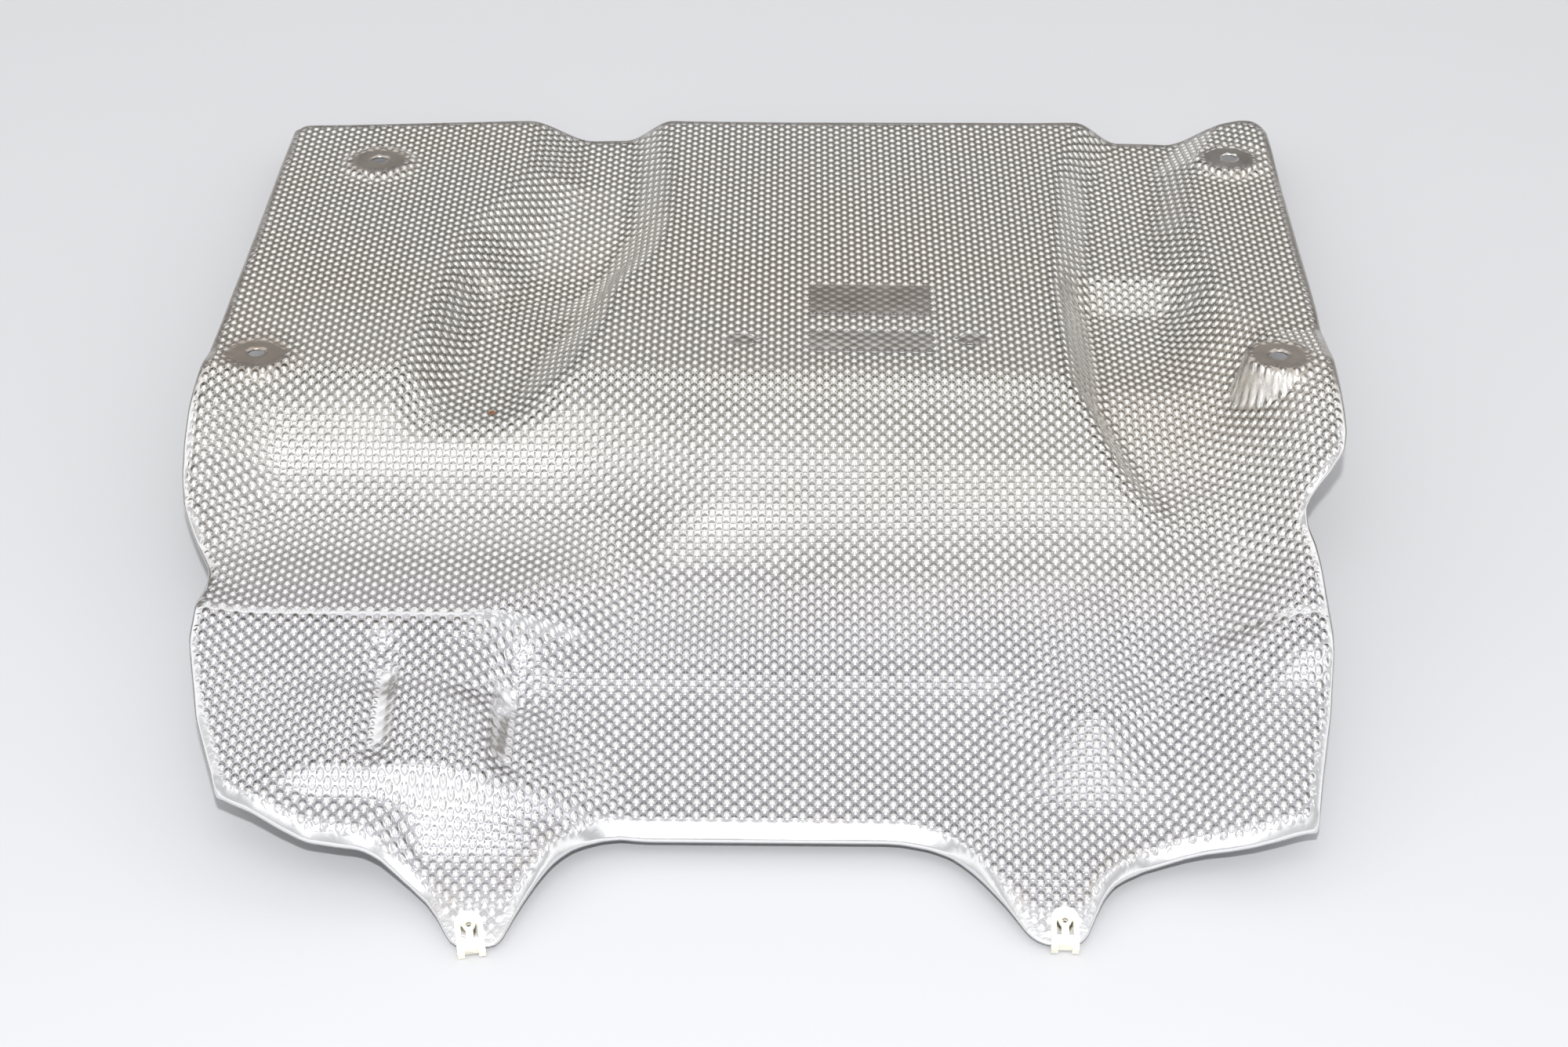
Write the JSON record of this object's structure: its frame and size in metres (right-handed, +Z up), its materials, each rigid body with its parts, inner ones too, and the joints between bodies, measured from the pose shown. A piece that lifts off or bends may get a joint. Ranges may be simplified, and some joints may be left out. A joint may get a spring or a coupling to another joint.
{
  "type": "heat shield",
  "caption": "Embossed aluminium heat shield with channels, a cross ridge, bolt pads and two tabs that carry plastic clips.",
  "frame": {"origin": "on the floor under the middle of the part's bounding box, at rest as it lies", "axes": "+Z up, +X to the right and +Y toward the straight back edge, away from the two clips"},
  "size_m": [0.5797, 0.6462, 0.0884],
  "materials": {
    "embossed_aluminium": "bright embossed mill finish",
    "ivory_plastic": "natural moulded nylon"
  },
  "bodies": {
    "root": {"heat_shield": "embossed_aluminium", "clip_left": "ivory_plastic", "clip_right": "ivory_plastic"}
  },
  "joints": []
}
